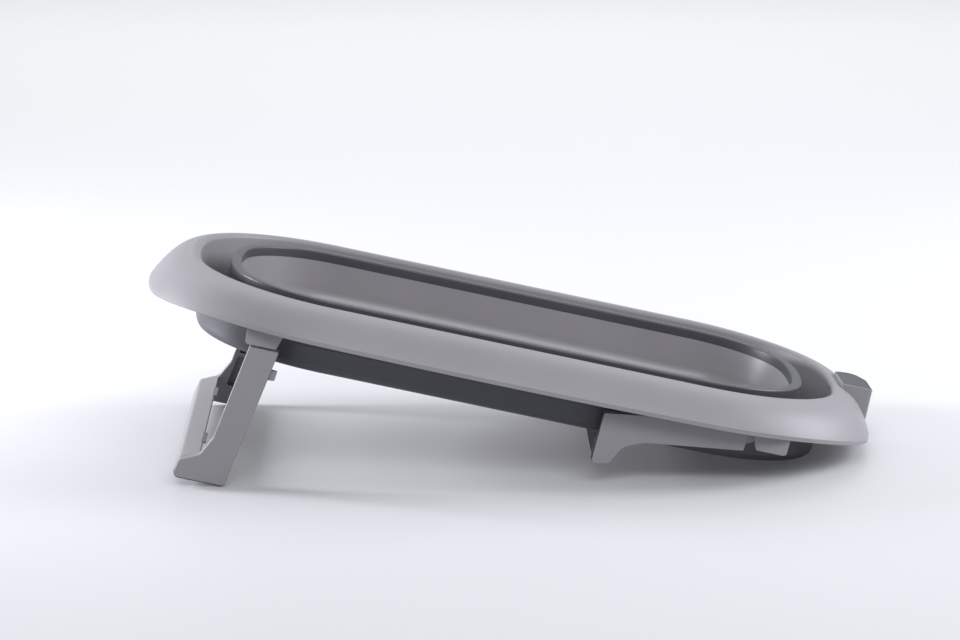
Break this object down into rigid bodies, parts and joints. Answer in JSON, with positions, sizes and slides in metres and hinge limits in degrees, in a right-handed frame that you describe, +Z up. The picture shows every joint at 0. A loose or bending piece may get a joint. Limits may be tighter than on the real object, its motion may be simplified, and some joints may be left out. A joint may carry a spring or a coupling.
{
  "type": "folding pet bathtub",
  "caption": "Collapsible pet bathtub: hard rim and pan joined by a soft folding wall, on folding legs, with a display pod and a drain plug.",
  "frame": {"origin": "on the ground, at the middle of the bounding box, in the stance with the left leg open and the right leg folded", "axes": "+X along the tub towards the display pod, +Y across it, +Z up; the tub itself leans about 12 degrees, left end up"},
  "size_m": [0.7942, 0.476, 0.2206],
  "materials": {
    "hard_plastic": "fine satin moulded polypropylene, warm light grey",
    "soft_wall": "semi-matt thermoplastic rubber, dark blue grey",
    "seal_rubber": "matt black rubber",
    "dark_plastic": "dark grey moulded plastic",
    "window": "glossy smoked window",
    "display": "liquid crystal panel",
    "circuit_board": "green circuit board",
    "steel": "plain steel"
  },
  "bodies": {
    "rim": {"rim": "hard_plastic", "wall_outer": "soft_wall", "wall_fold": "soft_wall", "bracket_left_front": "hard_plastic", "bracket_left_back": "hard_plastic", "bracket_right_front": "hard_plastic", "bracket_right_back": "hard_plastic", "pins_left": "steel", "pins_right": "steel", "pod_housing": "hard_plastic", "pod_window": "window", "pod_display": "display", "pod_board": "circuit_board", "coin_cell": "steel", "sensor_probe": "hard_plastic"},
    "pan": {"pan": "hard_plastic", "pan_grip": "soft_wall", "lip_ring": "soft_wall", "drain_seat": "dark_plastic"},
    "drain_plug": {"drain_plug": "soft_wall", "plug_seal": "seal_rubber"},
    "left_leg": {"leg_left": "hard_plastic", "foot_pads_left": "seal_rubber", "snap_pegs_left": "hard_plastic"},
    "right_leg": {"leg_right": "hard_plastic", "foot_pads_right": "seal_rubber", "snap_pegs_right": "hard_plastic"},
    "power_button": {"power_button": "dark_plastic"},
    "battery_cap": {"battery_cap": "hard_plastic"}
  },
  "joints": [
    {"name": "left_leg_fold", "type": "hinge", "parent": "rim", "child": "left_leg", "pos_m": [-0.2549, 0, 0.16457], "axis": [0, 1, 0], "range_deg": [-92.2, 0]},
    {"name": "right_leg_fold", "type": "hinge", "parent": "rim", "child": "right_leg", "pos_m": [0.26359, 0, 0.05232], "axis": [0, -1, 0], "range_deg": [0, 92.2]},
    {"name": "pan_drop", "type": "slide", "parent": "rim", "child": "pan", "axis": [-0.2116, 0, -0.9774], "range_m": [0, 0.126], "deforming": ["wall_fold"]},
    {"name": "drain_plug_lift", "type": "slide", "parent": "pan", "child": "drain_plug", "axis": [0.2116, 0, 0.9774], "range_m": [0, 0.03]},
    {"name": "power_button_press", "type": "slide", "parent": "rim", "child": "power_button", "axis": [-0.9774, 0, 0.2116], "range_m": [0, 0.001], "stiffness_N_per_m": 300},
    {"name": "battery_cap_turn", "type": "hinge", "parent": "rim", "child": "battery_cap", "pos_m": [0.373, 0.004, 0.03784], "axis": [-0.2116, 0, -0.9774], "range_deg": [0, 45]}
  ],
  "couplings": [
    {"joint": "pan_drop", "follows": "right_leg_fold", "m_per_rad": 0.0783}
  ]
}
